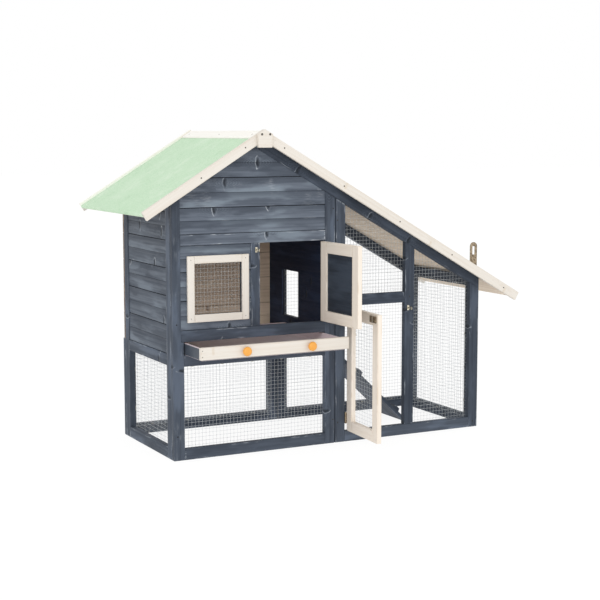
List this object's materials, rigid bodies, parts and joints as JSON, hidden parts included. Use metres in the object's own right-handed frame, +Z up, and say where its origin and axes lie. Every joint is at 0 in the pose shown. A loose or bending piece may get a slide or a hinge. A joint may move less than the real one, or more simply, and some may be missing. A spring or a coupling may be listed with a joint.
{
  "type": "rabbit hutch",
  "caption": "Two-storey wooden rabbit hutch: a boarded house over a mesh pen, a lean-to mesh run beside it, felted asymmetric roof, hinged doors, pull-out tray and a cleated ramp.",
  "frame": {"origin": "the middle of the front left post's foot, on the ground", "axes": "+X to the right along the front, +Y from the front to the back, +Z up; the doors and the tray stand open at joint value 0"},
  "size_m": [1.474, 0.8485, 1.09],
  "materials": {
    "grey_stained_wood": "semi-opaque grey-blue stain on knotty softwood",
    "dark_stained_wood": "the same stain in shade, darker",
    "cream_painted_wood": "cream-white paint",
    "bare_wood": "planed and unpainted",
    "roof_felt": "mineral-faced bitumen felt, mint green",
    "galvanised_mesh": "galvanised welded wire",
    "bronzed_steel": "antique bronze plated steel",
    "nickelled_steel": "nickel plated",
    "tray_sheet": "smooth taupe-grey sheet",
    "orange_plastic": "glossy orange knob"
  },
  "bodies": {
    "hutch": {"house_post_left": "grey_stained_wood", "house_post_right": "grey_stained_wood", "house_sill": "grey_stained_wood", "tray_rail": "grey_stained_wood", "floor_rail": "grey_stained_wood", "house_lintel": "grey_stained_wood", "mullion": "grey_stained_wood", "front_rake": "dark_stained_wood", "gable_boards": "grey_stained_wood", "window_boards": "grey_stained_wood", "left_boards": "grey_stained_wood", "back_boards": "bare_wood", "doorway_wall": "dark_stained_wood", "window_frame": "cream_painted_wood", "window_mesh": "galvanised_mesh", "left_frame": "grey_stained_wood", "right_frame": "dark_stained_wood", "doorway_rail": "dark_stained_wood", "back_house_frame": "dark_stained_wood", "back_run_frame": "dark_stained_wood", "run_post_left": "grey_stained_wood", "run_post_middle": "dark_stained_wood", "run_post_right": "dark_stained_wood", "run_sill": "grey_stained_wood", "run_rail": "dark_stained_wood", "pen_front_mesh": "galvanised_mesh", "pen_left_mesh": "galvanised_mesh", "pen_back_mesh": "galvanised_mesh", "run_door_side_mesh": "galvanised_mesh", "run_front_mesh": "galvanised_mesh", "run_right_mesh": "galvanised_mesh", "run_back_mesh": "galvanised_mesh", "roof_deck_left": "bare_wood", "roof_deck_right": "bare_wood", "roof_felt_left": "roof_felt", "roof_felt_right": "roof_felt", "front_fascia_left": "cream_painted_wood", "front_fascia_right": "cream_painted_wood", "back_fascia_left": "cream_painted_wood", "back_fascia_right": "cream_painted_wood", "ridge_cap": "cream_painted_wood", "ridge_gusset": "cream_painted_wood", "house_door_hinge_lower": "bronzed_steel", "house_door_hinge_upper": "bronzed_steel", "run_door_hinge_lower": "bronzed_steel", "run_door_hinge_upper": "bronzed_steel"},
    "house_door": {"house_door_frame": "cream_painted_wood", "house_door_panel": "dark_stained_wood"},
    "house_hasp": {"house_hasp_strap": "bronzed_steel"},
    "house_staple": {"house_staple": "nickelled_steel"},
    "run_door": {"run_door_frame": "cream_painted_wood", "run_door_mesh": "galvanised_mesh"},
    "run_hasp": {"run_hasp_strap": "bronzed_steel"},
    "run_staple": {"run_staple": "nickelled_steel"},
    "tray": {"tray": "tray_sheet", "tray_front": "cream_painted_wood", "tray_knob_left": "orange_plastic", "tray_knob_right": "orange_plastic"},
    "ramp": {"ramp": "dark_stained_wood"},
    "roof_hasp": {"roof_hasp": "bronzed_steel"}
  },
  "joints": [
    {"name": "house_door_hinge", "type": "hinge", "parent": "hutch", "child": "house_door", "pos_m": [0.5445, -0.0135, 0.436], "axis": [0, 0, -1], "range_deg": [-5, 92]},
    {"name": "run_door_hinge", "type": "hinge", "parent": "hutch", "child": "run_door", "pos_m": [0.6265, -0.0135, 0.041], "axis": [0, 0, 1], "range_deg": [0, 94]},
    {"name": "house_hasp_hinge", "type": "hinge", "parent": "house_door", "child": "house_hasp", "pos_m": [0.5517, -0.24839, 0.69], "axis": [0, 0, -1], "range_deg": [0, 180]},
    {"name": "run_hasp_hinge", "type": "hinge", "parent": "run_door", "child": "run_hasp", "pos_m": [0.61145, -0.24301, 0.46], "axis": [0, 0, 1], "range_deg": [0, 180]},
    {"name": "house_staple_turn", "type": "hinge", "parent": "hutch", "child": "house_staple", "pos_m": [0.2835, -0.01, 0.69], "axis": [0, -1, 0], "range_deg": [0, 90]},
    {"name": "run_staple_turn", "type": "hinge", "parent": "hutch", "child": "run_staple", "pos_m": [0.8825, -0.01, 0.46], "axis": [0, -1, 0], "range_deg": [0, 90]},
    {"name": "tray_slide", "type": "slide", "parent": "hutch", "child": "tray", "axis": [0, 1, 0], "range_m": [-0.25, 0.142]},
    {"name": "ramp_hinge", "type": "hinge", "parent": "hutch", "child": "ramp", "pos_m": [0.5843, 0.274, 0.4], "axis": [0, -1, 0], "range_deg": [0, 28]},
    {"name": "roof_hasp_hinge", "type": "hinge", "parent": "hutch", "child": "roof_hasp", "pos_m": [1.149, -0.0235, 0.5949], "axis": [0.8684, 0, -0.4959], "range_deg": [-80, 0]}
  ]
}
